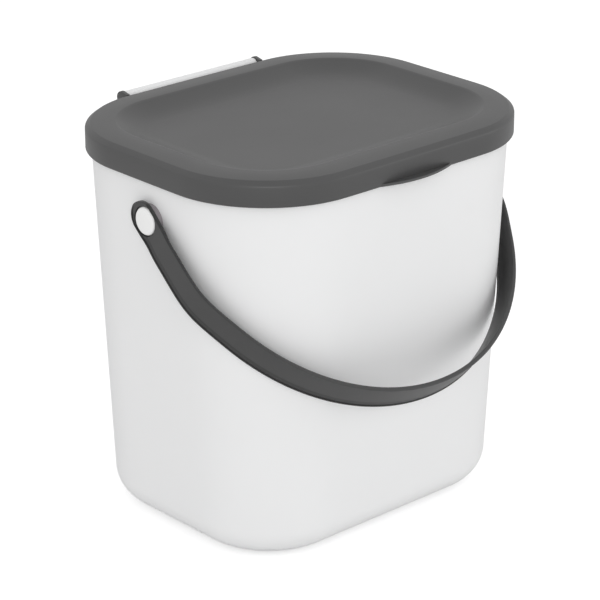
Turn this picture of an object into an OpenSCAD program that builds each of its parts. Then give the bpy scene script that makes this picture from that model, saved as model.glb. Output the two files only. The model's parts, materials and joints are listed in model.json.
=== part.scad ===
// Kitchen compost caddy: a frosted pail, a hinged lid with a sunken dish, and a carrying bail
// that swings on two push-in pivot buttons. X runs side to side, the finger tab is at -Y, the
// hinge is at +Y and the caddy stands on Z = 0.

/* [Bucket] */
// Outside length of the mouth, side to side
mouth_length = 212; // [195:1:230]
// Outside width of the mouth, front to back
mouth_width = 169; // [155:1:185]
// Corner radius of the mouth
mouth_corner = 58; // [50:1:62]
// Outside length of the base, side to side
base_length = 191.4; // [180:0.2:200]
// Outside width of the base, front to back
base_width = 149.2; // [140:0.2:156]
// Corner radius of the base
base_corner = 46; // [38:1:52]
// Height of the rim above the floor
rim_height = 214.2; // [190:0.1:240]
// Thickness of the bucket's wall and base
wall = 2; // [1.6:0.1:3]
// Radius of the rounded edge round the base
base_edge = 17; // [12:1:24]
// Outward bow of the front and back of the mouth
mouth_crown = 0.7; // [0:0.1:2]
// Depth of the neck that the skirt of the lid covers
neck_depth = 11.1; // [9:0.1:12]
// How far the neck steps in from the wall
neck_step = 0.8; // [0.6:0.1:1]

/* [Lid] */
// How far the skirt stands out past the mouth
lid_overhang = 2.8; // [2.6:0.1:4]
// Outward bow of the front and back of the lid
lid_crown = 1.4; // [0.6:0.1:2.2]
// Height of the skirt
skirt_height = 14.3; // [12:0.1:16]
// Height of the skirt at the back, between the corners
back_skirt_height = 7.2; // [6.4:0.1:7.4]
// Thickness of the lid
lid_wall = 1.6; // [1.2:0.1:2]
// Radius of the lid's outer top edge
lid_edge = 3; // [2:0.1:4]
// Width of the flat band between the edge radius and the dish
band_width = 13.2; // [9:0.1:18]
// How far the band rises from the edge radius to the dish
band_rise = 0.8; // [0:0.1:1.2]
// Depth of the dish below the band
dish_depth = 6; // [3:0.5:9]
// Width of the dish's sloping side
dish_slope = 19; // [14:1:26]
// Length of the finger tab along the skirt
tab_length = 52; // [36:1:70]
// How far the finger tab stands out from the skirt
tab_reach = 5; // [3:0.5:7]
// Thickness of the finger tab
tab_thickness = 2; // [1.6:0.1:3]
// Depth of the hollow in the top of the finger tab
tab_hollow = 1; // [0.5:0.1:1.2]

/* [Hinge] */
// Length of the hinge barrel
barrel_length = 93.4; // [70:0.2:96]
// Diameter of the hinge barrel
barrel_d = 6.8; // [6:0.1:7.2]
// How far the hinge axis lies behind the back of the lid
hinge_setback = 4; // [3.9:0.1:4.6]
// How far the hinge axis lies below the top of the lid
hinge_drop = 4.2; // [4:0.1:4.6]
// Diameter of the lid's hinge pins
pin_d = 3.4; // [2.6:0.1:3.8]
// Length of the lid's hinge pins
pin_length = 5; // [3.5:0.1:8]
// Thickness of the lid's hinge ears
ear_thickness = 2.4; // [2:0.1:3]
// Radius of the lid's hinge ears
ear_radius = 3.9; // [3.5:0.1:4]

/* [Bail] */
// How far the bail's pivots lie below the rim
pivot_drop = 32.2; // [26:0.1:60]
// How far the pivots lie in front of the middle
pivot_forward = 1.9; // [0:0.1:4]
// How far the outside of the hoop lies from the pivots, beyond half the mouth's width
hoop_gap = 53.8; // [48:0.2:64]
// Length of the bail's straight legs
leg_length = 27; // [22:1:32]
// Width of the band at the legs
leg_width = 17.4; // [17.2:0.1:19]
// Width of the band at the middle of the hoop
hoop_width = 18; // [16:0.1:20]
// Thickness of the band at the legs
leg_thickness = 1.8; // [1.6:0.1:2.2]
// Thickness of the band at the middle of the hoop
hoop_thickness = 2.4; // [2:0.1:3]
// How far the middle of the hoop's plain curve lies outside the mouth, side to side
hoop_overhang = 4.9; // [3.5:0.1:6]
// Width of the raised edge along each side of the band
bead_width = 1.9; // [1.4:0.1:2.6]
// Height of the raised edges above the band
bead_height = 0.6; // [0.3:0.1:0.8]
// Thickness of the bail's rounded ends
eye_thickness = 2.4; // [2.2:0.1:3]
// Radius of the bail's rounded ends
eye_radius = 9; // [8.9:0.1:9.6]
// Length of the bail's end beyond the pivot
eye_reach = 11.7; // [10.5:0.1:13]

/* [Pivots] */
// Diameter of the pivot button's head
button_d = 15.6; // [14:0.1:16.4]
// Height of the head's edge above the floor of its pocket
button_edge = 1.1; // [0.6:0.1:1.8]
// Height of the head's dome above its edge
button_dome = 0.6; // [0.4:0.1:1.6]
// Diameter of the journal that the bail turns on
journal_d = 10; // [8:0.1:12]
// Diameter of the shank that holds the button in its boss
shank_d = 7; // [5:0.1:7.6]
// Diameter of the snap collar on the shank's tip
collar_d = 8.4; // [8:0.1:9]
// Diameter of the boss on the bucket's side
boss_d = 17; // [14:0.1:18]
// How far the boss stands out from the bucket's side
boss_reach = 3; // [1.5:0.1:3.2]
// Depth of the pocket in the bail that takes the head
pocket_depth = 1.6; // [1:0.1:1.7]

/* [Fits] */
// Radial clearance of a pin in its bore
running_fit = 0.06; // [0.03:0.01:0.1]
// Radial clearance of a shank in its boss
shank_fit = 0.02; // [0.01:0.01:0.04]
// Clearance between faces that move past each other
side_gap = 0.3; // [0.2:0.05:0.5]
// Clearance between the bail's legs and the lid
leg_gap = 0.45; // [0.3:0.05:0.8]
// Clearance between the closed lid and the rim
seat_gap = 0.3; // [0.2:0.05:0.4]
// Clearance between the resting bail and the bucket
rest_gap = 0.3; // [0.2:0.1:1]

/* [Hidden] */

$fn = 64;
// Points round each corner and along each side of an outline
corner_steps = 12;
side_steps = 6;
// Steps in a rounded edge, down the side of the dish and round the hoop
round_steps = 6;
dish_steps = 6;
hoop_steps = 44;
// Steps along a straight leg of the bail, along the finger tab, round an ear and over a button
leg_steps = 5;
tab_steps = 16;
ear_steps = 24;
dome_steps = 8;
// How far a cut reaches past the face it opens
over = 1;

// Heights and half sizes that the pieces share
lid_top = rim_height + seat_gap + lid_wall + band_rise;
skirt_bottom = lid_top - skirt_height;
shoulder_height = rim_height - neck_depth;
lid_x = mouth_length / 2 + lid_overhang;
lid_y = mouth_width / 2 + lid_overhang;
// The lid's corners are a little squarer than an even offset of the mouth's
corner_growth = 0.25;
lid_corner = mouth_corner + corner_growth * lid_overhang;

// Hinge
hinge_y = lid_y + hinge_setback;
hinge_z = lid_top - hinge_drop;
pin_bore_depth = pin_length + side_gap;
ear_inside = barrel_length / 2 + side_gap;
ear_outside = ear_inside + ear_thickness;
// Slope of the hidden back part of the skirt's lower edge
back_ramp = 15;
back_rise = skirt_height - back_skirt_height;

// Bail and pivots
pivot_y = -pivot_forward;
pivot_height = rim_height - pivot_drop;
boss_face = wall_x(pivot_height) + boss_reach;
eye_inside = boss_face + side_gap;
eye_outside = eye_inside + eye_thickness;
pocket_floor = eye_outside - pocket_depth;
head_underside = pocket_floor + side_gap / 2;
head_edge = pocket_floor + button_edge;
hoop_reach = mouth_width / 2 + hoop_gap;
eye_centre = eye_radius - eye_reach;
splay_start = button_d / 2 + side_gap + over;
splay_end = skirt_bottom - pivot_height - over;

// ---- Shared ----

// Share of the way from base to mouth at a height
function rise(z) = z / shoulder_height;

function mix(a, b, t) = a + (b - a) * t;

function smooth(t) = let (s = min(max(t, 0), 1)) s * s * (3 - 2 * s);

function reversed(list) = [for (i = [len(list) - 1:-1:0]) list[i]];

// Outside half length, half width and corner radius of the bucket's wall at a height
function wall_x(z) = mix(base_length, mouth_length, rise(z)) / 2;
function wall_y(z) = mix(base_width, mouth_width, rise(z)) / 2;
function wall_corner(z) = mix(base_corner, mouth_corner, rise(z));

// Rounded rectangle with half sizes x and y, corner radius r and bowed front and back
function outline(x, y, r, crown = 0) =
    let (corners = [[1, 1, 0], [-1, 1, 90], [-1, -1, 180], [1, -1, 270]])
    [for (c = [0:3])
        let (
            here = corners[c],
            next = corners[(c + 1) % 4],
            centre = [here.x * (x - r), here.y * (y - crown - r)],
            ahead = [next.x * (x - r), next.y * (y - crown - r)],
            turn = here.z + 90,
            from = centre + r * [cos(turn), sin(turn)],
            to = ahead + r * [cos(turn), sin(turn)]
        )
        each concat(
            [for (k = [0:corner_steps])
                let (a = here.z + 90 * k / corner_steps)
                centre + r * [cos(a), sin(a)]],
            [for (k = [1:side_steps - 1]) mix(from, to, k / side_steps)]
        )
    ];

// Bows the front and back outward
function bowed(p, x, y, crown) =
    [p.x, p.y + crown * (1 - pow(p.x / x, 2)) * sign(p.y) * pow(abs(p.y) / (y - crown), 3)];

function ring(x, y, r, crown, z) =
    [for (p = outline(x, y, r, crown)) let (q = bowed(p, x, y, crown)) [q.x, q.y, z]];

function middle_of(points) =
    [for (axis = [0:2])
        let (v = [for (p = points) p[axis]])
        (min(v) + max(v)) / 2];

// Closed solid through rings with equal numbers of points, each turning left as seen from ahead
module loft(rings) {
    n = len(rings[0]);
    last = len(rings) - 1;
    sides = [for (i = [0:last - 1], k = [0:n - 1])
        let (
            a = i * n + k,
            b = i * n + (k + 1) % n
        )
        each [[a, b + n, b], [a, a + n, b + n]]];
    start = [for (k = [0:n - 1]) [k, (k + 1) % n, (last + 1) * n]];
    end = [for (k = [0:n - 1]) [last * n + (k + 1) % n, last * n + k, (last + 1) * n + 1]];
    ends = [middle_of(rings[0]), middle_of(rings[last])];
    polyhedron(points = concat([for (r = rings) each r], ends), faces = concat(start, sides, end));
}

// Extrudes a YZ profile along X, about the middle
module along_x(length) {
    rotate([90, 0, 90]) linear_extrude(height = length, center = true) children();
}

// Cylinder along X from one place to another
module across(d, from, to) {
    translate([from, 0, 0]) rotate([0, 90, 0]) cylinder(d = d, h = to - from);
}

module at_hinge() {
    translate([0, hinge_y, hinge_z]) children();
}

// Side 1 is the right pivot, side -1 the left one
module at_pivot(side) {
    translate([0, pivot_y, pivot_height]) mirror([side < 0 ? 1 : 0, 0, 0]) children();
}

// ---- Bucket ----

function wall_ring(z, inset) =
    ring(wall_x(z) - inset, wall_y(z) - inset, wall_corner(z) - inset, mouth_crown * rise(z), z);

// Rounded lower edge of radius r, from the flat at floor_z up to the wall
function base_rings(r, inset, floor_z) =
    [for (k = [0:round_steps])
        let (a = 90 * k / round_steps)
        wall_ring(floor_z + r * (1 - cos(a)), inset + r * (1 - sin(a)))];

module bucket_shell() {
    neck_inside = neck_step / 2 + wall;
    rim_round = (neck_inside - neck_step) / 3;
    loft(concat(
        base_rings(base_edge, 0, 0),
        [
            wall_ring(shoulder_height - neck_step, 0),
            wall_ring(shoulder_height, neck_step),
            wall_ring(rim_height - rim_round, neck_step),
            wall_ring(rim_height, neck_step + rim_round),
            wall_ring(rim_height, neck_inside - rim_round),
            wall_ring(rim_height - rim_round, neck_inside),
            wall_ring(shoulder_height, neck_inside),
            wall_ring(shoulder_height - 2 * wall, wall)
        ],
        reversed(base_rings(base_edge - wall, wall, wall))
    ));
}

// Web that carries the hinge barrel on the back of the neck
module barrel_web() {
    web_start = wall_y(shoulder_height) - neck_step - wall / 2;
    web_bottom = hinge_z - barrel_d;
    half_foot = barrel_d / 4;
    web_top = hinge_z - half_foot;
    profile = [
        [web_start, web_bottom - (hinge_y - web_start)],
        [hinge_y - half_foot, web_bottom],
        [hinge_y + half_foot, web_bottom],
        [hinge_y + half_foot, hinge_z],
        [hinge_y - half_foot, web_top],
        [web_start, web_top]
    ];
    along_x(barrel_length) polygon(profile);
}

module bucket() {
    color("whitesmoke")
    difference() {
        union() {
            bucket_shell();
            barrel_web();
            at_hinge() across(barrel_d, -barrel_length / 2, barrel_length / 2);
            for (side = [-1, 1])
                at_pivot(side) across(boss_d, wall_x(pivot_height) - wall / 2, boss_face);
        }
        for (side = [-1, 1]) {
            at_hinge() mirror([side < 0 ? 1 : 0, 0, 0])
                across(pin_d + 2 * running_fit, barrel_length / 2 - pin_bore_depth,
                    barrel_length / 2 + over);
            at_pivot(side)
                across(shank_d + 2 * shank_fit, wall_x(pivot_height) - 2 * wall, boss_face + over);
        }
    }
}

// ---- Lid ----

function lid_ring(inset, z) =
    ring(lid_x - inset, lid_y - inset, lid_corner - inset, lid_crown, z);

// The skirt's lower edge rises towards the back so that it clears the rim as the lid opens
function skirt_ring(inset) =
    [for (p = lid_ring(inset, skirt_bottom))
        [p.x, p.y, p.z + back_rise * smooth((p.y - lid_y + inset + back_ramp) / back_ramp)]];

// Profile of the dish: depth at a share of the way down its side
function dish_drop(t) = dish_depth * sin(90 * t);

module lid_shell() {
    band_end = lid_edge + band_width;
    band_start_top = lid_top - band_rise;
    under_start_top = band_start_top - lid_wall;
    inner_edge = lid_edge - lid_wall;
    // Keeps the sloping side about as thick as the rest
    slope_offset = lid_wall / 3;
    top = concat(
        [for (k = [dish_steps:-1:0])
            let (t = k / dish_steps)
            lid_ring(band_end + dish_slope * t, lid_top - dish_drop(t))],
        [for (k = [0:round_steps])
            let (a = 90 * k / round_steps)
            lid_ring(lid_edge * (1 - sin(a)), band_start_top - lid_edge * (1 - cos(a)))]
    );
    under = concat(
        [for (k = [round_steps:-1:0])
            let (a = 90 * k / round_steps)
            lid_ring(lid_edge - inner_edge * sin(a), under_start_top - inner_edge * (1 - cos(a)))],
        [for (k = [0:dish_steps])
            let (t = k / dish_steps)
            lid_ring(band_end + dish_slope * t + slope_offset, lid_top - lid_wall - dish_drop(t))]
    );
    loft(reversed(concat(top, [skirt_ring(0), skirt_ring(lid_wall)], under)));
}

// Crescent along the foot of the skirt: half length, reach. Its back and tips lie inside the skirt.
function crescent(half, reach) =
    let (sunk = lid_wall / 2)
    concat(
        [for (k = [0:tab_steps])
            let (x = half * (2 * k / tab_steps - 1))
            [x, sunk / 2 - front_y(x) - (reach + sunk / 2) * (1 - pow(x / half, 2))]],
        [for (k = [tab_steps:-1:0])
            let (x = half * (2 * k / tab_steps - 1))
            [x, sunk - front_y(x)]]
    );

// Front of the lid at a distance x from the middle
function front_y(x) = lid_y - lid_crown * pow(x / lid_x, 2);

module finger_tab() {
    lip = tab_thickness - tab_hollow;
    difference() {
        translate([0, 0, skirt_bottom]) linear_extrude(height = tab_thickness)
            polygon(crescent(tab_length / 2, tab_reach));
        translate([0, 0, skirt_bottom + lip]) linear_extrude(height = tab_thickness)
            polygon(crescent(tab_length / 2 - 2 * lip, tab_reach - lip));
    }
}

// Plate that reaches back from the lid's rim and rounds the hinge axis
module ear() {
    front = lid_wall / 2 + hinge_setback;
    arc = [for (k = [0:ear_steps])
        let (a = 90 - 180 * k / ear_steps) ear_radius * [cos(a), sin(a)]];
    profile = concat(arc, [[-front, -ear_radius], [-front, ear_radius - lid_edge / 3]]);
    at_hinge() translate([(ear_inside + ear_outside) / 2, 0, 0])
        along_x(ear_thickness) polygon(profile);
}

// Room in the skirt for the hinge barrel and its web
module barrel_notch() {
    notch_depth = lid_overhang + neck_step + hinge_setback;
    notch_top = hinge_z + barrel_d / 4;
    translate([-ear_inside, hinge_y - notch_depth, skirt_bottom - over])
        cube([2 * ear_inside, notch_depth, notch_top - skirt_bottom + over]);
}

module lid() {
    color("dimgray")
    union() {
        difference() {
            lid_shell();
            barrel_notch();
        }
        finger_tab();
        for (side = [-1, 1]) mirror([side < 0 ? 1 : 0, 0, 0]) {
            ear();
            at_hinge() across(pin_d, ear_inside - pin_length, ear_inside + ear_thickness / 2);
        }
    }
}

// ---- Bail ----

// Half length of the lid at a place from front to back and a height
function lid_reach(y, z) =
    let (
        up = z - lid_top + lid_edge,
        inset = up > 0 ? lid_edge - sqrt(max(pow(lid_edge, 2) - pow(up, 2), 0)) : 0,
        v = abs(y) - (lid_y - lid_crown - lid_corner)
    )
    z < skirt_bottom || z > lid_top || v > lid_corner ? 0
    : lid_x - inset - lid_corner + sqrt(pow(lid_corner, 2) - pow(max(v, 0), 2));

// Widest part of the lid that a strip across the band meets on its way over: d from the pivots
function widest_met(d) =
    max([for (angle = [0:1:180], share = [-1:0.5:1])
        let (w = share * leg_width / 2)
        lid_reach(
            pivot_y - d * cos(angle) + w * sin(angle),
            pivot_height + d * sin(angle) + w * cos(angle)
        )]);

// Larger of two lengths, with the change from one to the other rounded off
function round_max(a, b) = (a + b + sqrt(pow(a - b, 2) + pow(leg_gap, 2))) / 2;

// Inside of the band: [distance from the middle, distance from the pivots]
function plain_point(a) =
    [(mouth_length / 2 + hoop_overhang - leg_thickness) * cos(a),
        leg_length + (hoop_reach - hoop_thickness - leg_length) * sin(a)];
function clear_of_lid(p) =
    p.x < lid_x / 2 ? p : [round_max(p.x, widest_met(p.y) + leg_gap), p.y];
function hoop_point(a) = clear_of_lid(plain_point(a));
function splay(d) = smooth((d - splay_start) / (splay_end - splay_start));
function leg_point(d) = [mix(eye_inside, hoop_point(0).x, splay(d)), d];

leg_stations = [eye_centre, 0, splay_start / 2, splay_start,
    for (k = [1:leg_steps]) mix(splay_start, splay_end, k / leg_steps),
    (splay_end + leg_length) / 2];

function thickness(d) =
    let (band = mix(leg_thickness, hoop_thickness, smooth(2 * d / hoop_reach - 1)))
    mix(eye_thickness, band, splay(d));
function half_width(d) = mix(leg_width, hoop_width, smooth(d / hoop_reach)) / 2;

// Right half of the hoop, eye first: [inside point, half width of the band, height of the beads]
half_hoop = concat(
    [for (k = [1:round_steps - 1])
        let (a = 90 * k / round_steps)
        [leg_point(eye_centre - eye_radius * cos(a)), eye_radius * sin(a), 0]],
    [for (d = leg_stations)
        [leg_point(d), mix(eye_radius, leg_width / 2, smooth(d / splay_start)),
            bead_height * smooth((d - splay_start) / splay_start)]],
    [for (k = [0:hoop_steps / 2 - 1])
        let (p = hoop_point(180 * k / hoop_steps))
        [p, half_width(p.y), bead_height]]
);
middle = [[hoop_point(90), hoop_width / 2, bead_height]];
other_half = [for (s = reversed(half_hoop)) [[-s[0].x, s[0].y], s[1], s[2]]];
hoop = concat(half_hoop, middle, other_half);

// Outward normal of the hoop at station i
function hoop_normal(i) =
    let (
        a = hoop[max(i - 1, 0)][0],
        b = hoop[min(i + 1, len(hoop) - 1)][0],
        t = (b - a) / norm(b - a)
    )
    [t.y, -t.x];

// Cross-section of the band with half width w and thickness t: [along its width, outward]
function band_section(w, t, bead) =
    let (
        edge = min(t / 5, w / 4),
        top = w - min(bead_width, w / 2),
        foot = top - min(bead_height, w / 8)
    )
    [
        [w, t - edge], [w, edge], [w - edge, 0], [edge - w, 0], [-w, edge], [-w, t - edge],
        [edge - w, t], [-top, t], [-foot, t - bead], [foot, t - bead], [top, t], [w - edge, t]
    ];

// Distance of a point from the outside of the bucket's wall
function outside_bucket(x, y, z) =
    let (
        r = wall_corner(z),
        u = abs(x) - wall_x(z) + r,
        v = abs(y) - wall_y(z) + r
    )
    norm([max(u, 0), max(v, 0)]) + min(max(u, v), 0) - r;

// Least distance between the hoop and the bucket at an angle below level
function hoop_clearance(angle) =
    min([for (s = half_hoop, w = [-1, 1] * s[1])
        if (s[0].y > leg_length) outside_bucket(
            s[0].x,
            pivot_y - s[0].y * cos(angle) - w * sin(angle),
            pivot_height - s[0].y * sin(angle) + w * cos(angle)
        )]);

// The bail rests where the hoop meets the bucket
rest_angle = max([for (angle = [20:0.1:70]) if (hoop_clearance(angle) > rest_gap) angle]);
echo(rest_angle = rest_angle);

module bail_band() {
    loft([for (i = [0:len(hoop) - 1])
        let (
            p = hoop[i][0],
            out = hoop_normal(i)
        )
        [for (q = band_section(hoop[i][1], thickness(p.y), hoop[i][2]))
            let (at = p + out * q.y)
            [at.x, -at.y, q.x]]]);
}

module bail() {
    color("dimgray")
    difference() {
        translate([0, pivot_y, pivot_height]) rotate([rest_angle, 0, 0]) bail_band();
        for (side = [-1, 1]) at_pivot(side) {
            across(journal_d + 2 * running_fit, eye_inside - over, eye_outside + over);
            across(button_d + 2 * side_gap, pocket_floor, eye_outside + over);
        }
    }
}

// ---- Pivot buttons ----

module pivot_button() {
    collar_start = wall_x(pivot_height - collar_d / 2) - wall - side_gap;
    tip = collar_start - wall;
    dome_radius = (pow(button_d / 2, 2) + pow(button_dome, 2)) / (2 * button_dome);
    dome_angle = asin(button_d / 2 / dome_radius);
    profile = concat(
        [[0, tip], [shank_d / 2, tip], [collar_d / 2, tip + wall / 2], [collar_d / 2, collar_start],
            [shank_d / 2, collar_start], [shank_d / 2, boss_face], [journal_d / 2, boss_face],
            [journal_d / 2, head_underside], [button_d / 2, head_underside]],
        [for (k = [0:dome_steps])
            let (a = dome_angle * (1 - k / dome_steps))
            [dome_radius * sin(a), head_edge + button_dome - dome_radius * (1 - cos(a))]]
    );
    color("white") rotate([0, 90, 0]) rotate_extrude() polygon(profile);
}

module left_pivot_button() {
    at_pivot(-1) pivot_button();
}

module right_pivot_button() {
    at_pivot(1) pivot_button();
}

bucket();
lid();
bail();
left_pivot_button();
right_pivot_button();
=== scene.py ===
"""Kitchen compost caddy: the visible pail, lid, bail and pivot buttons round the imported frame."""

import json
import math
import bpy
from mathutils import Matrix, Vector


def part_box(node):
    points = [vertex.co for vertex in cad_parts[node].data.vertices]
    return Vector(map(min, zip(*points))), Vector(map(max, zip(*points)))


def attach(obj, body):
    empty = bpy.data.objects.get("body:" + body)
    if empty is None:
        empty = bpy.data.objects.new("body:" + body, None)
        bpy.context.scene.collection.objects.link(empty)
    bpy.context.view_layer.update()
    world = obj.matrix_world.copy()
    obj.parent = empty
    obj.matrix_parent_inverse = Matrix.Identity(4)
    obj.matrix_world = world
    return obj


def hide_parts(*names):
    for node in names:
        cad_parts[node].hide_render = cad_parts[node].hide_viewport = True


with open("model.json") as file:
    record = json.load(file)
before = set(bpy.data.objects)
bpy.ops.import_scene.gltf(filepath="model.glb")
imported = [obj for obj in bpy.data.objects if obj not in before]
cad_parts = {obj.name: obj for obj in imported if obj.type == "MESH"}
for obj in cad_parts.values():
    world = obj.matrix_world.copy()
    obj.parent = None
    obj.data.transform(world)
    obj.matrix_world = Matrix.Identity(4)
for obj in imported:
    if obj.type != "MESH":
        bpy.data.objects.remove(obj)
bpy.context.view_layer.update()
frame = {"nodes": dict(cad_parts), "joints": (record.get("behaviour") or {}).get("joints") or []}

from types import SimpleNamespace

import bmesh
import bpy
from bpy.props import FloatProperty, FloatVectorProperty, PointerProperty
from mathutils import Matrix, Vector

bl_info = {
    "name": "Compost Caddy",
    "version": (1, 0, 0),
    "blender": (4, 5, 0),
    "location": "View3D > Sidebar > Caddy",
    "description": "Builds a kitchen compost caddy with a hinged lid and a swinging bail",
    "category": "Add Mesh",
}

MM = 0.001
NODE_BOX = {name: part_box(name) for name in frame["nodes"]}

# Points round each corner of an outline, and down each rounded edge
CORNER_STEPS = 20
SIDE_SHARES = [k / 10 for k in range(1, 10)]
ROUND_STEPS = 8
DISH_STEPS = 12
LATHE_STEPS = 96
HOOP_STEPS = 96

# Faces that meet at a sharper angle than this keep a crisp edge
CRISP_ANGLE = math.radians(32)

# Share of a small edge that its middle point is cut back by
EDGE_CUT = 0.3

# The photograph's camera
CAMERA_AZIMUTH = math.radians(-42.42)
CAMERA_ELEVATION = math.radians(22.07)
CAMERA_DISTANCE = 1.4338
CAMERA_TARGET = Vector((0, 0, 0.110))
CAMERA_RIGHT = -0.78 * MM
CAMERA_UP = -1.72 * MM
CAMERA_LENS = 157.37

# Strength of the surround in mirror rays
MIRRORED = 0.80


# ---- Settings ----


class CaddySizes(bpy.types.PropertyGroup):
    mouth_length: FloatProperty(
        name="Mouth length", description="Outside length of the mouth, side to side",
        default=212 * MM, unit="LENGTH")
    mouth_width: FloatProperty(
        name="Mouth width", description="Outside width of the mouth, front to back",
        default=169 * MM, unit="LENGTH")
    mouth_corner: FloatProperty(
        name="Mouth corner", description="Corner radius of the mouth",
        default=58 * MM, unit="LENGTH")
    base_length: FloatProperty(
        name="Base length", description="Outside length of the base, side to side",
        default=191.4 * MM, unit="LENGTH")
    base_width: FloatProperty(
        name="Base width", description="Outside width of the base, front to back",
        default=149.2 * MM, unit="LENGTH")
    base_corner: FloatProperty(
        name="Base corner", description="Corner radius of the base",
        default=46 * MM, unit="LENGTH")
    base_edge: FloatProperty(
        name="Base edge", description="Radius of the rounded edge round the base",
        default=17 * MM, unit="LENGTH")
    rim_height: FloatProperty(
        name="Rim height", description="Height of the rim above the floor",
        default=214.2 * MM, unit="LENGTH")
    neck_depth: FloatProperty(
        name="Neck depth", description="Depth of the neck under the skirt of the lid",
        default=11.1 * MM, unit="LENGTH")
    wall: FloatProperty(
        name="Wall", description="Thickness of the bucket's wall",
        default=2 * MM, unit="LENGTH")
    lid_wall: FloatProperty(
        name="Lid wall", description="Thickness of the lid",
        default=1.6 * MM, unit="LENGTH")
    lid_edge: FloatProperty(
        name="Lid edge", description="Radius of the lid's outer top edge",
        default=3 * MM, unit="LENGTH")
    band_width: FloatProperty(
        name="Band width", description="Width of the flat band round the dish",
        default=13.2 * MM, unit="LENGTH")
    band_rise: FloatProperty(
        name="Band rise", description="How far the band rises towards the dish",
        default=0.8 * MM, unit="LENGTH")
    dish_depth: FloatProperty(
        name="Dish depth", description="Depth of the dish below the band",
        default=6 * MM, unit="LENGTH")
    dish_slope: FloatProperty(
        name="Dish slope", description="Width of the dish's sloping side",
        default=19 * MM, unit="LENGTH")
    tab_length: FloatProperty(
        name="Tab length", description="Length of the finger tab along the skirt",
        default=52 * MM, unit="LENGTH")
    tab_reach: FloatProperty(
        name="Tab reach", description="How far the finger tab stands out from the skirt",
        default=5 * MM, unit="LENGTH")
    bead_width: FloatProperty(
        name="Bead width", description="Width of the raised edge along the bail",
        default=1.9 * MM, unit="LENGTH")
    bead_height: FloatProperty(
        name="Bead height", description="Height of the raised edge along the bail",
        default=0.6 * MM, unit="LENGTH")
    eye_bead: FloatProperty(
        name="Eye bead", description="Height of the raised edge round the bail's ends",
        default=0.8 * MM, unit="LENGTH")


class CaddyFinish(bpy.types.PropertyGroup):
    bucket_colour: FloatVectorProperty(
        name="Bucket", description="Colour of the frosted bucket", subtype="COLOR", size=4,
        default=(0.935, 0.937, 0.94, 1), min=0, max=1)
    # Painted shade: the bosses are the bucket's white plastic, and this dark colour stands for
    # their shadow behind the bail
    boss_shade_colour: FloatVectorProperty(
        name="Pivot boss", description="Colour of the shaded bosses behind the bail",
        subtype="COLOR", size=4, default=(0.27, 0.248, 0.262, 1), min=0, max=1)
    lid_colour: FloatVectorProperty(
        name="Lid", description="Colour of the lid", subtype="COLOR", size=4,
        default=(0.075, 0.075, 0.0753, 1), min=0, max=1)
    bail_colour: FloatVectorProperty(
        name="Bail", description="Colour of the bail", subtype="COLOR", size=4,
        default=(0.053, 0.053, 0.0533, 1), min=0, max=1)
    button_colour: FloatVectorProperty(
        name="Buttons", description="Colour of the pivot buttons", subtype="COLOR", size=4,
        default=(0.96, 0.96, 0.955, 1), min=0, max=1)
    daylight: FloatProperty(
        name="Daylight", description="Strength of the even light all round",
        default=0.74, min=0, subtype="FACTOR")


def sizes():
    return bpy.context.scene.caddy_sizes


def finish():
    return bpy.context.scene.caddy_finish


# ---- Places that the pieces share ----


def mix(a, b, t):
    return a + (b - a) * t


def smooth(t):
    t = min(max(t, 0), 1)
    return t * t * (3 - 2 * t)


def joint_point(name):
    return Vector(next(j["pos_m"] for j in frame["joints"] if j["name"] == name))


def caddy_form():
    """Places worked out from the frame and the settings, in metres."""
    s = sizes()
    f = SimpleNamespace()
    lid_low, lid_high = NODE_BOX["lid"]
    f.lid_top = lid_high.z
    f.skirt_bottom = lid_low.z
    f.lid_x = lid_high.x
    f.lid_y = -lid_low.y - s.tab_reach
    f.lid_corner = s.mouth_corner + (f.lid_x - s.mouth_length / 2) / 4
    f.lid_crown = 1.4 * MM
    f.hinge = joint_point("lid_hinge")
    f.pivot = joint_point("bail_swing")
    f.barrel_end = 46.7 * MM
    f.barrel_radius = 3.4 * MM
    f.ear_inside = f.barrel_end + 0.3 * MM
    f.ear_outside = f.ear_inside + 2.4 * MM
    f.ear_radius = lid_high.y - f.hinge.y
    f.shoulder = s.rim_height - s.neck_depth
    f.boss_face = NODE_BOX["bucket"][1].x
    f.eye_inside = f.boss_face + 0.3 * MM
    f.eye_thickness = 2.4 * MM
    f.eye_outside = f.eye_inside + f.eye_thickness
    f.pocket_floor = f.eye_outside - 1.6 * MM
    return f


# ---- Shaping helpers ----


def outline(x, y, r, crown=0.0, back_shares=SIDE_SHARES):
    """Rounded rectangle of half sizes x and y whose front and back bow outwards."""
    corners = [(1, 1, 0), (-1, 1, 90), (-1, -1, 180), (1, -1, 270)]
    points = []
    for c, (sx, sy, turn) in enumerate(corners):
        nx, ny, _ = corners[(c + 1) % 4]
        centre = Vector((sx * (x - r), sy * (y - crown - r)))
        ahead = Vector((nx * (x - r), ny * (y - crown - r)))
        for k in range(CORNER_STEPS + 1):
            a = math.radians(turn + 90 * k / CORNER_STEPS)
            points.append(centre + r * Vector((math.cos(a), math.sin(a))))
        last = math.radians(turn + 90)
        out = r * Vector((math.cos(last), math.sin(last)))
        for t in back_shares if c == 0 else SIDE_SHARES:
            points.append((centre + out).lerp(ahead + out, t))
    for p in points:
        bow = crown * (1 - (p.x / x) ** 2) * (abs(p.y) / (y - crown)) ** 3
        p.y += math.copysign(bow, p.y)
    return points


def first_loop(bm, points):
    """A closed loop of vertices at the points."""
    loop = bmesh.ops.create_circle(bm, segments=len(points), radius=1)["verts"]
    for vert, point in zip(loop, points):
        vert.co = point
    return loop


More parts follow.
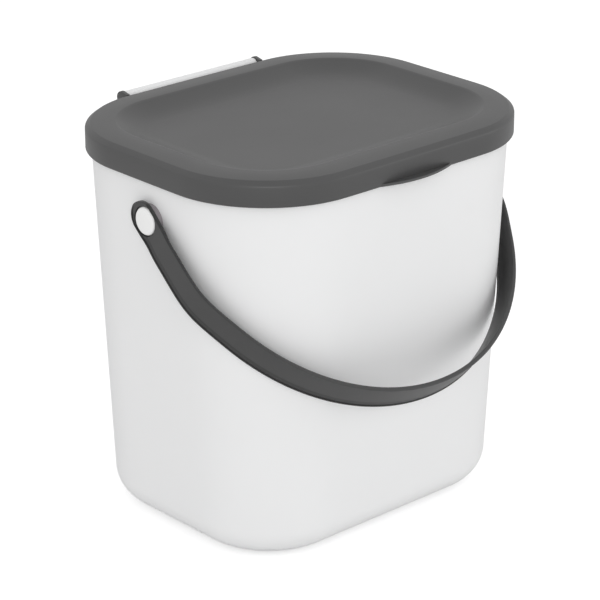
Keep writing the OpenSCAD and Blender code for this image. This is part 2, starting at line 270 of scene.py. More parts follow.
def next_loop(bm, loop, points):
    """Extrudes a closed loop and moves the new one to the points."""
    edges = [bm.edges.get((a, b)) for a, b in zip(loop, loop[1:] + loop[:1])]
    made = bmesh.ops.extrude_edge_only(bm, edges=edges)["geom"]
    fresh = {g for g in made if isinstance(g, bmesh.types.BMVert)}
    grown = []
    for vert, point in zip(loop, points):
        new = next(e.other_vert(vert) for e in vert.link_edges if e.other_vert(vert) in fresh)
        new.co = point
        grown.append(new)
    return grown


def close_loop(bm, loop):
    bmesh.ops.contextual_create(
        bm, geom=[bm.edges.get((a, b)) for a, b in zip(loop, loop[1:] + loop[:1])])


def loft(rings):
    """A closed solid through rings with equal numbers of points."""
    bm = bmesh.new()
    start = loop = first_loop(bm, rings[0])
    for ring in rings[1:]:
        loop = next_loop(bm, loop, ring)
    close_loop(bm, start)
    close_loop(bm, loop)
    return tidied(bm)


def lathe(profile, centre, side=1):
    """Turns points (along, radius) round the X axis through centre."""
    bm = bmesh.new()
    verts = [bm.verts.new((side * along, centre.y + radius, centre.z)) for along, radius in profile]
    edges = [bm.edges.new(pair) for pair in zip(verts, verts[1:])]
    bmesh.ops.spin(
        bm, geom=verts + edges, cent=centre, axis=(1, 0, 0), dvec=(0, 0, 0),
        angle=math.tau, steps=LATHE_STEPS, use_merge=True)
    return tidied(bm)


def plate(points, thickness, rounding):
    """A plate with a YZ outline, thickened along X, with its edges rounded off."""
    bm = bmesh.new()
    loop = first_loop(bm, points)
    close_loop(bm, loop)
    grown = bmesh.ops.extrude_face_region(bm, geom=bm.faces[:])["geom"]
    bmesh.ops.translate(
        bm, vec=(thickness, 0, 0), verts=[g for g in grown if isinstance(g, bmesh.types.BMVert)])
    bm.normal_update()
    rims = [e for e in bm.edges if abs(e.verts[0].co.x - e.verts[1].co.x) < thickness / 2]
    bmesh.ops.bevel(
        bm, geom=rims, offset=rounding, segments=3, profile=0.5, affect="EDGES", material=-1)
    return tidied(bm)


def tidied(bm):
    bmesh.ops.remove_doubles(bm, verts=bm.verts, dist=0.001 * MM)
    bmesh.ops.dissolve_degenerate(bm, edges=bm.edges, dist=0.001 * MM)
    bmesh.ops.recalc_face_normals(bm, faces=bm.faces)
    return bm


def mesh_from(bms, name):
    """One mesh that holds several finished bmeshes."""
    whole = bmesh.new()
    for bm in bms:
        mesh = bpy.data.meshes.new("part")
        bm.to_mesh(mesh)
        bm.free()
        whole.from_mesh(mesh)
        bpy.data.meshes.remove(mesh)
    mesh = bpy.data.meshes.new(name)
    whole.to_mesh(mesh)
    whole.free()
    return mesh


def show(name, mesh, material):
    """An object with smooth faces and crisp corners."""
    mesh.shade_smooth()
    mesh.set_sharp_from_angle(angle=CRISP_ANGLE)
    mesh.materials.clear()
    mesh.materials.append(material)
    piece = bpy.data.objects.new(name, mesh)
    bpy.context.scene.collection.objects.link(piece)
    return piece


# ---- Node helpers and shared effects ----


def new_group(name, inputs, outputs):
    """A shader node group: inputs are (label, default), outputs are (label, socket type)."""
    group = bpy.data.node_groups.new(name, "ShaderNodeTree")
    for label, value in inputs:
        socket = group.interface.new_socket(label, in_out="INPUT", socket_type="NodeSocketFloat")
        socket.default_value = value
    for label, kind in outputs:
        group.interface.new_socket(label, in_out="OUTPUT", socket_type=kind)
    return group, group.nodes.new("NodeGroupInput"), group.nodes.new("NodeGroupOutput")


def math_node(tree, operation, a, b=0.0, clamp=False):
    """A Math node on sockets or numbers, and its output."""
    node = tree.nodes.new("ShaderNodeMath")
    node.operation = operation
    node.use_clamp = clamp
    for socket, value in zip(node.inputs, (a, b)):
        if isinstance(value, bpy.types.NodeSocket):
            tree.links.new(value, socket)
        else:
            socket.default_value = value
    return node.outputs[0]


def noise(tree, scale, detail, roughness=0.5):
    coordinates = tree.nodes.new("ShaderNodeTexCoord")
    node = tree.nodes.new("ShaderNodeTexNoise")
    node.inputs["Detail"].default_value = detail
    node.inputs["Roughness"].default_value = roughness
    tree.links.new(coordinates.outputs["Object"], node.inputs["Vector"])
    if isinstance(scale, bpy.types.NodeSocket):
        tree.links.new(scale, node.inputs["Scale"])
    else:
        node.inputs["Scale"].default_value = scale
    return node.outputs["Fac"]


def moulded_grain():
    """Fine spark grain of the mould, and the faint clouding of the plastic."""
    group, given, out = new_group(
        "Moulded grain",
        [("Grains per metre", 2600.0), ("Clouds per metre", 22.0)],
        [("Grain", "NodeSocketFloat"), ("Clouds", "NodeSocketFloat")])
    fine = noise(group, given.outputs["Grains per metre"], 2.0, 0.6)
    clouds = noise(group, given.outputs["Clouds per metre"], 3.0)
    group.links.new(fine, out.inputs["Grain"])
    group.links.new(clouds, out.inputs["Clouds"])
    return group


def rubbed_edges():
    """Mask of the corners that hands and cloths rub."""
    group, given, out = new_group(
        "Rubbed edges", [("Patches per metre", 60.0)], [("Mask", "NodeSocketFloat")])
    bevel = group.nodes.new("ShaderNodeBevel")
    bevel.samples = 4
    bevel.inputs["Radius"].default_value = 0.7 * MM
    geometry = group.nodes.new("ShaderNodeNewGeometry")
    dot = group.nodes.new("ShaderNodeVectorMath")
    dot.operation = "DOT_PRODUCT"
    group.links.new(bevel.outputs["Normal"], dot.inputs[0])
    group.links.new(geometry.outputs["Normal"], dot.inputs[1])
    bend = math_node(group, "SUBTRACT", 1.0, dot.outputs["Value"])
    sharp = math_node(group, "MULTIPLY", bend, 5.0, clamp=True)
    patches = noise(group, given.outputs["Patches per metre"], 3.0)
    group.links.new(math_node(group, "MULTIPLY", sharp, patches), out.inputs["Mask"])
    return group


def shared_group(maker, name):
    return bpy.data.node_groups.get(name) or maker()


def place_group(tree, group, **values):
    node = tree.nodes.new("ShaderNodeGroup")
    node.node_tree = group
    for label, value in values.items():
        node.inputs[label.replace("_", " ")].default_value = value
    return node


def mix_colour(tree, factor, a, b):
    node = tree.nodes.new("ShaderNodeMix")
    node.data_type = "RGBA"
    tree.links.new(factor, node.inputs["Factor"])
    for socket, value in ((node.inputs[6], a), (node.inputs[7], b)):
        if isinstance(value, bpy.types.NodeSocket):
            tree.links.new(value, socket)
        else:
            socket.default_value = value
    return node.outputs[2]


def tinted(colour, factor):
    return (*(min(c * factor, 1) for c in colour[:3]), 1)


def moulded_plastic(name, colour, roughness, grain_depth, grains, rub, clouding=0.03):
    """Moulded plastic: mottled colour, grained surface, corners rubbed a little lighter."""
    material = bpy.data.materials.new(name)
    material.use_nodes = True
    material.diffuse_color = tuple(colour)
    tree = material.node_tree
    shader = tree.nodes["Principled BSDF"]
    grain = place_group(
        tree, shared_group(moulded_grain, "Moulded grain"), Grains_per_metre=grains)
    edges = place_group(tree, shared_group(rubbed_edges, "Rubbed edges"))
    base = mix_colour(
        tree, grain.outputs["Clouds"], tinted(colour, 1 - clouding), tinted(colour, 1 + clouding))
    worn = math_node(tree, "MULTIPLY", edges.outputs["Mask"], rub)
    tree.links.new(
        mix_colour(tree, worn, base, tinted(colour, 1.5)), shader.inputs["Base Color"])
    spread = math_node(tree, "MULTIPLY", grain.outputs["Clouds"], 0.08)
    rough = math_node(tree, "ADD", spread, roughness - 0.04)
    tree.links.new(
        math_node(tree, "SUBTRACT", rough, math_node(tree, "MULTIPLY", worn, 0.1)),
        shader.inputs["Roughness"])
    bump = tree.nodes.new("ShaderNodeBump")
    bump.inputs["Strength"].default_value = 0.35
    bump.inputs["Distance"].default_value = grain_depth
    tree.links.new(grain.outputs["Grain"], bump.inputs["Height"])
    tree.links.new(bump.outputs["Normal"], shader.inputs["Normal"])
    return material, shader


def across_band():
    """Masks for painted shade across the bail: its lower raised edge, the edge's crease, and the
    legs' upper side.

    The places are in millimetres from the pivots.
    """
    group, _, out = new_group(
        "Across band", [],
        [("Edge", "NodeSocketFloat"), ("Crease", "NodeSocketFloat"), ("Side", "NodeSocketFloat")])
    b = bail_form()
    coordinates = group.nodes.new("ShaderNodeTexCoord")

    def ramp(direction, start, end):
        dot = group.nodes.new("ShaderNodeVectorMath")
        dot.operation = "DOT_PRODUCT"
        dot.inputs[1].default_value = direction
        group.links.new(coordinates.outputs["Object"], dot.inputs[0])
        node = group.nodes.new("ShaderNodeMapRange")
        node.inputs["From Min"].default_value = direction.dot(b.pivot) + start * MM
        node.inputs["From Max"].default_value = direction.dot(b.pivot) + end * MM
        group.links.new(dot.outputs["Value"], node.inputs["Value"])
        return node.outputs["Result"]

    across = Vector((0, -math.sin(b.angle), math.cos(b.angle)))
    along = Vector((0, -math.cos(b.angle), -math.sin(b.angle)))
    edge = ramp(across, -4.4, -4.9)
    crease = math_node(group, "MULTIPLY", edge, ramp(across, -6.3, -5.7))
    side = math_node(group, "MULTIPLY", ramp(across, 8.1, 8.5), ramp(along, 110, 30))
    for label, mask in (("Edge", edge), ("Crease", crease), ("Side", side)):
        group.links.new(mask, out.inputs[label])
    return group


def paint_edge_shade(material):
    """Paints shade as darker bands along the bail's lower raised edge, its crease and the upper
    side of its legs.
    """
    tree = material.node_tree
    colour = tree.nodes["Principled BSDF"].inputs["Base Color"]
    plain_colour = colour.links[0].from_socket
    masks = place_group(tree, shared_group(across_band, "Across band"))
    dark = 0.0
    for label, share in (("Edge", 0.4), ("Crease", 0.3), ("Side", 0.75)):
        dark = math_node(
            tree, "ADD", math_node(tree, "MULTIPLY", masks.outputs[label], share), dark)
    base = tuple(finish().bail_colour)
    # The dark tint is painted shade, not a colour of the bail's plastic
    tree.links.new(mix_colour(tree, dark, plain_colour, tinted(base, 0.35)), colour)


def frosted_plastic(name, colour):
    """Natural polypropylene: a soft white body with a satin skin."""
    material, shader = moulded_plastic(name, colour, 0.42, 0.02 * MM, 1900, 0.1, clouding=0.01)
    shader.inputs["Subsurface Weight"].default_value = 0.12
    shader.inputs["Subsurface Radius"].default_value = (1.0, 1.0, 1.0)
    shader.inputs["Subsurface Scale"].default_value = 4 * MM
    return material


# ---- Bucket ----


def wall_outline(z, inset):
    """Outline of the bucket's wall at a height, moved inwards by inset."""
    s, f = sizes(), caddy_form()
    t = z / f.shoulder
    points = outline(
        mix(s.base_length, s.mouth_length, t) / 2 - inset,
        mix(s.base_width, s.mouth_width, t) / 2 - inset,
        mix(s.base_corner, s.mouth_corner, t) - inset,
        0.7 * MM * t)
    return [Vector((p.x, p.y, z)) for p in points]


def base_rings(radius, inset, floor_z):
    rings = []
    for k in range(2 * ROUND_STEPS + 1):
        a = math.pi / 2 * k / (2 * ROUND_STEPS)
        rings.append(wall_outline(
            floor_z + radius * (1 - math.cos(a)), inset + radius * (1 - math.sin(a))))
    return rings


def rim_rings(outer, inner, top):
    """Round lip between an outer and an inner inset."""
    middle, half = (outer + inner) / 2, (inner - outer) / 2
    rings = []
    for k in range(ROUND_STEPS + 1):
        a = math.pi * k / ROUND_STEPS
        rings.append(wall_outline(
            top - half * (1 - math.sin(a)), middle - half * math.cos(a)))
    return rings


def bucket_shell():
    s, f = sizes(), caddy_form()
    step = 0.8 * MM
    neck_inside = step / 2 + s.wall
    straights = [mix(s.base_edge, f.shoulder - step, k / 8) for k in range(1, 8)]
    outside = (
        base_rings(s.base_edge, 0, 0)
        + [wall_outline(z, 0) for z in straights]
        + [wall_outline(f.shoulder - 1.6 * step, 0), wall_outline(f.shoulder - step, 0.1 * step)]
        + [wall_outline(f.shoulder - 0.4 * step, 0.4 * step), wall_outline(f.shoulder, step)])
    inside = (
        [wall_outline(f.shoulder, neck_inside), wall_outline(f.shoulder - 2 * s.wall, s.wall)]
        + [wall_outline(z, s.wall) for z in reversed(straights)]
        + base_rings(s.base_edge - s.wall, s.wall, s.wall)[::-1])
    return loft(outside + rim_rings(step, neck_inside, s.rim_height) + inside)


def hinge_barrel():
    """Barrel with a blind bore in each end for the lid's pins."""
    f = caddy_form()
    end, radius, edge = f.barrel_end, f.barrel_radius, 0.4 * MM
    bore, depth = 1.76 * MM, 5.3 * MM
    half = [(end - depth, 0), (end - depth, bore), (end, bore), (end, radius - edge),
            (end - EDGE_CUT * edge, radius - EDGE_CUT * edge), (end - edge, radius)]
    profile = [(-a, r) for a, r in half] + half[::-1]
    return lathe(profile, Vector((0, f.hinge.y, f.hinge.z)))


def barrel_web():
    s, f = sizes(), caddy_form()
    start = s.mouth_width / 2 - 1.8 * MM
    y, z, r = f.hinge.y, f.hinge.z, f.barrel_radius
    bottom = z - 2 * r
    points = [
        (start, bottom - (y - start)), (y - r / 2, bottom), (y + r / 2, bottom),
        (y + r / 2, z), (y - r / 2, z - r / 2), (start, z - r / 2)]
    return plate([Vector((-f.barrel_end, *p)) for p in points], 2 * f.barrel_end, 0.5 * MM)


def pivot_boss(side):
    f = caddy_form()
    face, radius, edge = f.boss_face, 8.5 * MM, 0.4 * MM
    root = face - 3 * MM
    bore = 3.52 * MM
    profile = [
        (root, bore), (face, bore), (face, radius - edge),
        (face - EDGE_CUT * edge, radius - EDGE_CUT * edge),
        (face - edge, radius), (root, radius), (root, bore)]
    return lathe(profile, f.pivot, side)


class CADDY_OT_bucket(bpy.types.Operator):
    """Adds the frosted bucket with its hinge barrel and pivot bosses"""

    bl_idname = "caddy.add_bucket"
    bl_label = "Add Bucket"

    def execute(self, context):
        frosted = frosted_plastic("Frosted plastic", finish().bucket_colour)
        shell = show("bucket_shell", mesh_from([bucket_shell()], "bucket_shell"), frosted)
        hinge = show(
            "hinge_barrel", mesh_from([hinge_barrel(), barrel_web()], "hinge_barrel"), frosted)
        # A dark copy of the plastic for the bosses: painted shade where the bucket's white would be
        shaded, _ = moulded_plastic(
            "Boss painted shade plastic", finish().boss_shade_colour, 0.4, 0.02 * MM, 1900, 0.1)
        bosses = show(
            "pivot_bosses", mesh_from([pivot_boss(-1), pivot_boss(1)], "pivot_bosses"), shaded)
        for piece in (shell, hinge, bosses):
            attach(piece, "bucket")
            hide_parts("bucket")
        return {"FINISHED"}


# ---- Lid ----


def lid_profile():
    """Outer skin, then inner skin, of the lid's section: (inset, height), dish first."""
    s, f = sizes(), caddy_form()
    band_end = s.lid_edge + s.band_width
    edge_top = f.lid_top - s.band_rise
    lip = 0.3 * MM
    inner_edge = s.lid_edge - s.lid_wall
    outer = []
    for k in range(DISH_STEPS, 0, -1):
        t = k / DISH_STEPS
        outer.append((
            band_end + s.dish_slope * t,
            f.lid_top - s.dish_depth * math.sin(math.pi / 2 * t)))
    outer.append((band_end + 0.35 * MM, f.lid_top - 0.12 * MM))
    outer.append((band_end - 0.5 * MM, f.lid_top - 0.01 * MM))
    outer.append((mix(band_end, s.lid_edge, 0.5), mix(f.lid_top, edge_top, 0.5)))
    high, low = (s.lid_edge, edge_top), (0.45 * MM, edge_top - 1.9 * MM)
    outer += [(high[0] + 0.3 * MM, high[1] + 0.015 * MM), (high[0], high[1] - 0.04 * MM)]
    outer += [(mix(high[0], low[0], t), mix(high[1], low[1], t)) for t in (0.09, 0.5, 0.91)]
    outer += [
        (low[0] - 0.06 * MM, low[1] - 0.09 * MM), (0.18 * MM, low[1] - 0.42 * MM),
        (0.05 * MM, low[1] - 0.85 * MM), (0, low[1] - 1.4 * MM)]
    outer += [(0, f.skirt_bottom + lip), (lip / 3, f.skirt_bottom + lip / 3), (lip, f.skirt_bottom)]
    inner = [(s.lid_wall - lip, f.skirt_bottom), (s.lid_wall, f.skirt_bottom + lip)]
    for k in range(ROUND_STEPS, -1, -1):
        a = math.pi / 2 * k / ROUND_STEPS
        inner.append((
            s.lid_edge - inner_edge * math.sin(a),
            edge_top - s.lid_wall - inner_edge * (1 - math.cos(a))))
    for k in range(DISH_STEPS + 1):
        t = k / DISH_STEPS
        inner.append((
            band_end + s.dish_slope * t + s.lid_wall / 3,
            f.lid_top - s.lid_wall - s.dish_depth * math.sin(math.pi / 2 * t)))
    return outer, inner


def raised(points, level):
    """A skin's points with those below level drawn up to where the skin crosses it."""
    above = [p for p in points if p[1] >= level]
    below = [p for p in points if p[1] < level]
    if not below:
        return points
    ordered = sorted(points, key=lambda p: p[1])
    under = max((p for p in ordered if p[1] < level), key=lambda p: p[1])
    over = min((p for p in ordered if p[1] >= level and p[0] < 10 * MM), key=lambda p: p[1])
    crossing = mix(under[0], over[0], (level - under[1]) / (over[1] - under[1]))
    return [p if p in above or p[0] > 10 * MM else (crossing, level) for p in points]


def lid_shell():
    """Lid whose skirt is shorter behind and opens over the hinge barrel."""
    f = caddy_form()
    outer, inner = lid_profile()
    profile = outer + inner
    notch_top = f.hinge.z + f.barrel_radius / 2
    notched = raised(outer, notch_top) + raised(inner, notch_top)
    straight = f.lid_x - f.lid_corner
    share = (straight - f.ear_inside) / (2 * straight)
    between = [mix(share, 1 - share, k / 12) for k in range(13)]
    shares = [share] + between + [1 - share]
    first = CORNER_STEPS + 1 + 1
    notch_columns = range(first, first + len(between))
    ramp, rise = 15 * MM, 7.1 * MM

    def ring(inset):
        return outline(
            f.lid_x - inset, f.lid_y - inset, f.lid_corner - inset, f.lid_crown, shares)

    rings = []
    for (inset, z), (notch_inset, notch_z) in zip(profile, notched):
        plain, cut = ring(inset), ring(notch_inset)
        points = []
        for k, p in enumerate(plain):
            if k in notch_columns:
                points.append(Vector((cut[k].x, cut[k].y, notch_z)))
                continue
            lift = rise * smooth((p.y - f.lid_y + inset + ramp) / ramp)
            low = f.skirt_bottom + 0.31 * MM
            points.append(Vector((p.x, p.y, z + lift if z < low and inset < 2 * MM else z)))
        rings.append(points)
    return loft(rings)


def front_y(x):
    f = caddy_form()
    return f.lid_y - f.lid_crown * (x / f.lid_x) ** 2


def crescent(half, reach, z):
    """Closed crescent on the front of the skirt, its back and tips sunk into the skirt."""
    steps, sunk = 28, 0.8 * MM
    front, back = [], []
    for k in range(steps + 1):
        x = half * (2 * k / steps - 1)
        out = (reach + sunk / 2) * (1 - (x / half) ** 2)
        front.append(Vector((x, sunk / 2 - front_y(x) - out, z)))
        back.append(Vector((x, sunk - front_y(x), z)))
    return front + back[::-1]


def finger_tab():
    """Thin lip with a scoop behind it for the fingertips."""
    s, f = sizes(), caddy_form()
    half, reach, bottom = s.tab_length / 2, s.tab_reach, f.skirt_bottom
    lip, top, edge = 0.7 * MM, 1.3 * MM, 0.2 * MM
    inner = half - 2 * lip
    return loft([
        crescent(half - edge, reach - edge, bottom),
        crescent(half, reach, bottom + edge),
        crescent(half, reach, bottom + top - edge),
        crescent(half - edge, reach - edge, bottom + top),
        crescent(inner + edge, reach - lip + edge / 2, bottom + top),
        crescent(inner, reach - lip, bottom + top - edge),
        crescent(inner - edge, reach - lip - edge / 2, bottom + 0.75 * top),
    ])


def hinge_ear(side):
    """Plate from the lid's rim round the end of the barrel."""
    f = caddy_form()
    front, radius = 4.8 * MM, f.ear_radius
    points = []
    for k in range(25):
        a = math.pi / 2 - math.pi * k / 24
        points.append((radius * math.cos(a), radius * math.sin(a)))
    points += [(-front, -radius), (-front, radius - 1 * MM)]
    start = f.ear_inside if side > 0 else -f.ear_outside
    return plate(
        [Vector((start, f.hinge.y + y, f.hinge.z + z)) for y, z in points],
        f.ear_outside - f.ear_inside, 0.35 * MM)


def hinge_pin(side):
    f = caddy_form()
    tip, radius, edge = f.ear_inside - 5 * MM, 1.7 * MM, 0.3 * MM
    return lathe(
        [(tip, 0), (tip, radius - edge), (tip + edge, radius), (f.ear_inside + MM, radius),
         (f.ear_inside + MM, 0)], f.hinge, side)


class CADDY_OT_lid(bpy.types.Operator):
    """Adds the lid with its dish, finger tab, hinge ears and pins"""

    bl_idname = "caddy.add_lid"
    bl_label = "Add Lid"

    def execute(self, context):
        plastic, _ = moulded_plastic(
            "Lid plastic", finish().lid_colour, 0.42, 0.015 * MM, 2600, 0.35)
        shapes = [lid_shell(), finger_tab()]
        shapes += [make(side) for make in (hinge_ear, hinge_pin) for side in (-1, 1)]
        lid = show("lid_shell", mesh_from(shapes, "lid_shell"), plastic)
        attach(lid, "lid")
        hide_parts("lid")
        return {"FINISHED"}


# ---- Bail ----


def bail_form():
    f = caddy_form()
    b = SimpleNamespace(**vars(f))
    s = sizes()
    b.reach = s.mouth_width / 2 + 53.6 * MM
    b.leg_length = 27 * MM
    b.leg_width, b.hoop_width = 17.4 * MM, 18 * MM
    b.leg_thickness, b.hoop_thickness = 1.8 * MM, 2.4 * MM
    b.overhang = 4.9 * MM
    b.leg_gap = 0.45 * MM
    b.eye_radius, b.eye_centre = 9 * MM, -2.1 * MM
    b.splay_start = 9.1 * MM
    b.splay_end = f.skirt_bottom - f.pivot.z - 1 * MM
    b.angle = math.radians(42.6)
    return b


def lid_half_length(b, y, z):
    """Half length of the lid at a place from front to back and a height."""
    edge = sizes().lid_edge
    up = z - b.lid_top + edge
    inset = edge - math.sqrt(max(edge ** 2 - up ** 2, 0)) if up > 0 else 0
    v = abs(y) - (b.lid_y - b.lid_crown - b.lid_corner)
    if z < b.skirt_bottom or z > b.lid_top or v > b.lid_corner:
        return 0
    return b.lid_x - inset - b.lid_corner + math.sqrt(b.lid_corner ** 2 - max(v, 0) ** 2)


def widest_met(b, d):
    """Widest part of the lid that a strip across the band meets on its way over."""
    widest = 0
    for degree in range(0, 181, 2):
        c, n = math.cos(math.radians(degree)), math.sin(math.radians(degree))
        for share in (-1, -0.5, 0, 0.5, 1):
            w = share * b.leg_width / 2
            widest = max(widest, lid_half_length(
                b, b.pivot.y - d * c + w * n, b.pivot.z + d * n + w * c))
    return widest


def hoop_point(b, a):
    """Inside of the band: (distance from the middle, distance from the pivots)."""
    half = sizes().mouth_length / 2 + b.overhang - b.leg_thickness
    x = half * math.cos(a)
    d = b.leg_length + (b.reach - b.hoop_thickness - b.leg_length) * math.sin(a)
    if x > b.lid_x / 2:
        other = widest_met(b, d) + b.leg_gap
        x = (x + other + math.sqrt((x - other) ** 2 + b.leg_gap ** 2)) / 2
    return x, d


def splay(b, d):
    return smooth((d - b.splay_start) / (b.splay_end - b.splay_start))


def leg_point(b, d):
    return mix(b.eye_inside, hoop_point(b, 0)[0], splay(b, d)), d


def band_thickness(b, d):
    band = mix(b.leg_thickness, b.hoop_thickness, smooth(2 * d / b.reach - 1))
    return mix(b.eye_thickness, band, splay(b, d))


def half_hoop(b):
    """Stations from the eye to the middle: (x, d), half width, bead width, bead height."""
    s = sizes()
    stations = []
    eye_bead_width = 0.9 * MM
    rim = b.eye_radius - eye_bead_width
    for k in range(1, 24):
        a = math.pi / 2 * k / 24
        across, along = b.eye_radius * math.sin(a), b.eye_radius * math.cos(a)
        inner = math.sqrt(max(rim ** 2 - along ** 2, 0))
        stations.append((leg_point(b, b.eye_centre - along), across, across - inner, s.eye_bead))
    for d in [b.eye_centre, 0] + [b.splay_start * k / 6 for k in range(1, 7)]:
        t = smooth(d / b.splay_start)
        half = mix(b.eye_radius, b.leg_width / 2, t)
        stations.append((leg_point(b, d), half, mix(eye_bead_width, s.bead_width, t), s.eye_bead))
    for k in range(1, 11):
        d = mix(b.splay_start, b.splay_end, k / 10)
        t = smooth((d - b.splay_start) / b.splay_start)
        stations.append((
            leg_point(b, d), b.leg_width / 2, s.bead_width, mix(s.eye_bead, s.bead_height, t)))
    last = leg_point(b, (b.splay_end + b.leg_length) / 2)
    stations.append((last, b.leg_width / 2, s.bead_width, s.bead_height))
    for k in range(HOOP_STEPS // 2):
        before, here, after = (hoop_point(b, math.pi * (k + m) / HOOP_STEPS) for m in (-2, 0, 2))
        half = mix(b.leg_width, b.hoop_width, smooth(here[1] / b.reach)) / 2
        eased = ((before[0] + 2 * here[0] + after[0]) / 4, here[1])
        stations.append((eased, half, s.bead_width, s.bead_height))
    return stations


def band_section(half, thickness, bead, height):
    """Section of the band, its face sunk between two raised edges: (along its width, outwards).

    A shallow groove runs beside the lower raised edge.
    """
    e = min(thickness / 5, half / 4)
    c = e * (1 - math.sqrt(0.5))
    height = min(height, half / 8)
    face, groove = thickness - 0.7 * height, thickness - 0.95 * height

    def side(width, floor):
        rim = half - max(0.45 * width, e)
        return [
            (half - e, 0), (half - c, c), (half, e), (half, thickness - e),
            (half - c, thickness - c), (half - e, thickness), (rim, thickness),
            (rim - 0.06 * width, floor), (half - 0.88 * width, floor), (half - width, face)]

    return side(min(bead, MM), face) + [(-w, n) for w, n in reversed(side(bead, groove))]


def bail_band():
    b = bail_form()
    s = sizes()
    right = half_hoop(b)
    middle = (hoop_point(b, math.pi / 2), b.hoop_width / 2, s.bead_width, s.bead_height)
    left = [((-p[0], p[1]), half, bead, height) for (p, half, bead, height) in reversed(right)]
    stations = right + [middle] + left
    turn = Matrix.Rotation(b.angle, 4, "X")
    place = Matrix.Translation(b.pivot) @ turn
    rings = []
    for i, (p, half, bead, height) in enumerate(stations):
        before, after = stations[max(i - 1, 0)][0], stations[min(i + 1, len(stations) - 1)][0]
        along = (Vector(after) - Vector(before)).normalized()
        out = Vector((along.y, -along.x))
        thick = band_thickness(b, p[1])
        ring = []
        for w, n in band_section(half, thick, bead, height):
            at = Vector(p) + out * n
            ring.append(place @ Vector((at.x, -at.y, w)))
        rings.append(ring)
    return loft(rings)


def eye_cutters():
    """Journal bores and the pockets that take the buttons' heads."""
    f = caddy_form()
    bore, pocket = 5.06 * MM, 8.2 * MM
    inside, floor, outside = f.eye_inside - MM, f.pocket_floor, f.eye_outside + MM
    profile = [(inside, 0), (inside, bore), (floor, bore), (floor, pocket),
               (outside, pocket), (outside, 0)]
    return mesh_from([lathe(profile, f.pivot, side) for side in (-1, 1)], "eye_cutters")


def cut_with(piece, cutter_mesh):
    """Cuts a mesh out of a piece and bakes the result into the piece's mesh."""
    cutter = bpy.data.objects.new("cutter", cutter_mesh)
    bpy.context.scene.collection.objects.link(cutter)
    modifier = piece.modifiers.new("Cut", "BOOLEAN")
    modifier.operation = "DIFFERENCE"
    modifier.solver = "EXACT"
    modifier.object = cutter
    bpy.context.view_layer.update()
    cut = bpy.data.meshes.new_from_object(
        piece.evaluated_get(bpy.context.evaluated_depsgraph_get()))
    piece.modifiers.clear()
    piece.data = cut
    bpy.data.objects.remove(cutter)


class CADDY_OT_bail(bpy.types.Operator):
    """Adds the carrying bail with its beaded band and pivot eyes"""

    bl_idname = "caddy.add_bail"
    bl_label = "Add Bail"

    def execute(self, context):
        plastic, _ = moulded_plastic(
            "Bail plastic", finish().bail_colour, 0.40, 0.012 * MM, 2600, 0.3)
        # Painted shade along the bail's raised edges and the legs' upper side
        paint_edge_shade(plastic)
        bail = show("bail_band", mesh_from([bail_band()], "bail_band"), plastic)
        cut_with(bail, eye_cutters())
        bail.data.shade_smooth()
        bail.data.set_sharp_from_angle(angle=CRISP_ANGLE)
        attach(bail, "bail")
        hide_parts("bail")
        return {"FINISHED"}


# ---- Pivot buttons ----


def button_shape(side):
    """Push-in rivet: collar, shank, journal, and a shallow head with a soft edge."""
    f = caddy_form()
    low, high = NODE_BOX["right_pivot_button"]
    radius = (high.y - low.y) / 2 - 0.25 * MM
    collar, shank, journal, wall = 4.2 * MM, 3.5 * MM, 5 * MM, 2 * MM
    collar_start = low.x + wall
    under = f.pocket_floor + 0.15 * MM
    edge, crown = 1.3 * MM, 0.3 * MM
    shoulder = high.x - crown - edge
    profile = [
        (low.x, 0), (low.x, shank), (low.x + wall / 2, collar), (collar_start, collar),
        (collar_start, shank), (f.boss_face, shank), (f.boss_face, journal), (under, journal),
        (under, radius - 0.2 * MM), (under + 0.2 * MM, radius)]
    for k in range(ROUND_STEPS + 1):
        a = math.pi / 2 * k / ROUND_STEPS
        profile.append((shoulder + edge * math.sin(a), radius - edge * (1 - math.cos(a))))
    flat = radius - edge
    for k in range(1, 9):
        t = 1 - k / 8
        profile.append((high.x - crown * t * t, flat * t))
    return lathe(profile, f.pivot, side)


class CADDY_OT_pivot_buttons(bpy.types.Operator):
    """Adds the two white pivot buttons"""

    bl_idname = "caddy.add_pivot_buttons"
    bl_label = "Add Pivot Buttons"

    def execute(self, context):
        plastic, _ = moulded_plastic(
            "Button plastic", finish().button_colour, 0.28, 0.006 * MM, 1500, 0.1, clouding=0.01)
        for side, name in ((-1, "left_pivot_button"), (1, "right_pivot_button")):
            button = show(name + "_head", mesh_from([button_shape(side)], name), plastic)
            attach(button, "bucket")
            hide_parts(name)
        return {"FINISHED"}


# ---- Stage ----


def surround():
    world = bpy.data.worlds.new("Surround")
    world.use_nodes = True
    tree = world.node_tree
    background = tree.nodes["Background"]
    background.inputs["Color"].default_value = (1, 1, 1, 1)
    level = finish().daylight
    path = tree.nodes.new("ShaderNodeLightPath")
    seen = math_node(
        tree, "ADD", path.outputs["Is Camera Ray"], path.outputs["Is Transmission Ray"])
    white = math_node(tree, "MULTIPLY", seen, 1 - level)
    dimmed = math_node(tree, "MULTIPLY", path.outputs["Is Glossy Ray"], MIRRORED - level)
    tree.links.new(
        math_node(tree, "ADD", math_node(tree, "ADD", white, dimmed), level),
        background.inputs["Strength"])
    bpy.context.scene.world = world


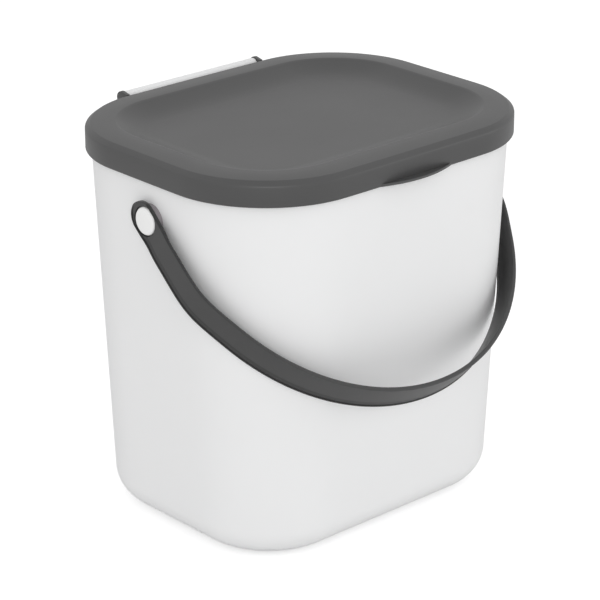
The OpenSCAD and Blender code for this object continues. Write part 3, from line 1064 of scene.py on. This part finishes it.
def floor():
    bm = bmesh.new()
    bmesh.ops.create_grid(bm, x_segments=8, y_segments=8, size=4)
    material = bpy.data.materials.new("Pale floor")
    material.use_nodes = True
    tree = material.node_tree
    shader = tree.nodes["Principled BSDF"]
    shader.inputs["Roughness"].default_value = 0.9
    shader.inputs["Specular IOR Level"].default_value = 0.0
    clouds = noise(tree, 3.0, 2.0)
    tree.links.new(
        mix_colour(tree, clouds, (0.86, 0.86, 0.86, 1), (0.87, 0.87, 0.87, 1)),
        shader.inputs["Base Color"])
    shader.inputs["Emission Color"].default_value = (1, 1, 1, 1)
    path = tree.nodes.new("ShaderNodeLightPath")
    tree.links.new(
        math_node(tree, "MULTIPLY", path.outputs["Is Camera Ray"], 0.42),
        shader.inputs["Emission Strength"])
    show("floor", mesh_from([bm], "floor"), material)


def soft_lamp(name, place, aim, size, power):
    data = bpy.data.lights.new(name, "AREA")
    data.shape = "SQUARE"
    data.size = size
    data.energy = power
    lamp = bpy.data.objects.new(name, data)
    lamp.location = place
    lamp.rotation_euler = (Vector(aim) - Vector(place)).to_track_quat("-Z", "Y").to_euler()
    bpy.context.scene.collection.objects.link(lamp)


def camera():
    sin_az, cos_az = math.sin(CAMERA_AZIMUTH), math.cos(CAMERA_AZIMUTH)
    sin_el, cos_el = math.sin(CAMERA_ELEVATION), math.cos(CAMERA_ELEVATION)
    back = Vector((sin_az * cos_el, -cos_az * cos_el, sin_el))
    right = Vector((cos_az, sin_az, 0))
    up = back.cross(right)
    place = CAMERA_TARGET + back * CAMERA_DISTANCE + right * CAMERA_RIGHT + up * CAMERA_UP
    data = bpy.data.cameras.new("camera")
    data.sensor_width = 36
    data.lens = CAMERA_LENS
    data.clip_end = 50
    view = bpy.data.objects.new("camera", data)
    view.matrix_world = Matrix.Translation(place) @ Matrix((right, up, back)).transposed().to_4x4()
    bpy.context.scene.collection.objects.link(view)
    bpy.context.scene.camera = view


class CADDY_OT_stage(bpy.types.Operator):
    """Adds the pale floor, the soft light all round, the lamps and the camera"""

    bl_idname = "caddy.add_stage"
    bl_label = "Add Stage"

    def execute(self, context):
        camera()
        surround()
        floor()
        soft_lamp("front_lamp", (-1.5, -1.7, 1.0), (0, 0, 0.1), 0.9, 10)
        soft_lamp("right_lamp", (1.7, -1.4, 0.5), (0, 0, 0.1), 0.9, 4)
        context.scene.view_settings.view_transform = "Standard"
        return {"FINISHED"}


# ---- Panel and registration ----


class CADDY_PT_panel(bpy.types.Panel):
    bl_idname = "CADDY_PT_panel"
    bl_label = "Compost Caddy"
    bl_space_type = "VIEW_3D"
    bl_region_type = "UI"
    bl_category = "Caddy"

    def draw(self, context):
        for group in (context.scene.caddy_sizes, context.scene.caddy_finish):
            column = self.layout.column(align=True)
            for name in group.__annotations__:
                column.prop(group, name)
        for operator in OPERATORS:
            self.layout.operator(operator.bl_idname)


OPERATORS = (
    CADDY_OT_stage, CADDY_OT_bucket, CADDY_OT_lid, CADDY_OT_bail, CADDY_OT_pivot_buttons)
CLASSES = (CaddySizes, CaddyFinish, *OPERATORS, CADDY_PT_panel)


def register():
    for cls in CLASSES:
        bpy.utils.register_class(cls)
    bpy.types.Scene.caddy_sizes = PointerProperty(type=CaddySizes)
    bpy.types.Scene.caddy_finish = PointerProperty(type=CaddyFinish)


def unregister():
    del bpy.types.Scene.caddy_finish
    del bpy.types.Scene.caddy_sizes
    for cls in reversed(CLASSES):
        bpy.utils.unregister_class(cls)


def plain(box):
    return [[float(v) for v in corner] for corner in box]


def main():
    register()
    bpy.ops.caddy.add_stage()
    bpy.ops.caddy.add_bucket()
    bpy.ops.caddy.add_lid()
    bpy.ops.caddy.add_bail()
    bpy.ops.caddy.add_pivot_buttons()


if __name__ == "__main__":
    main()
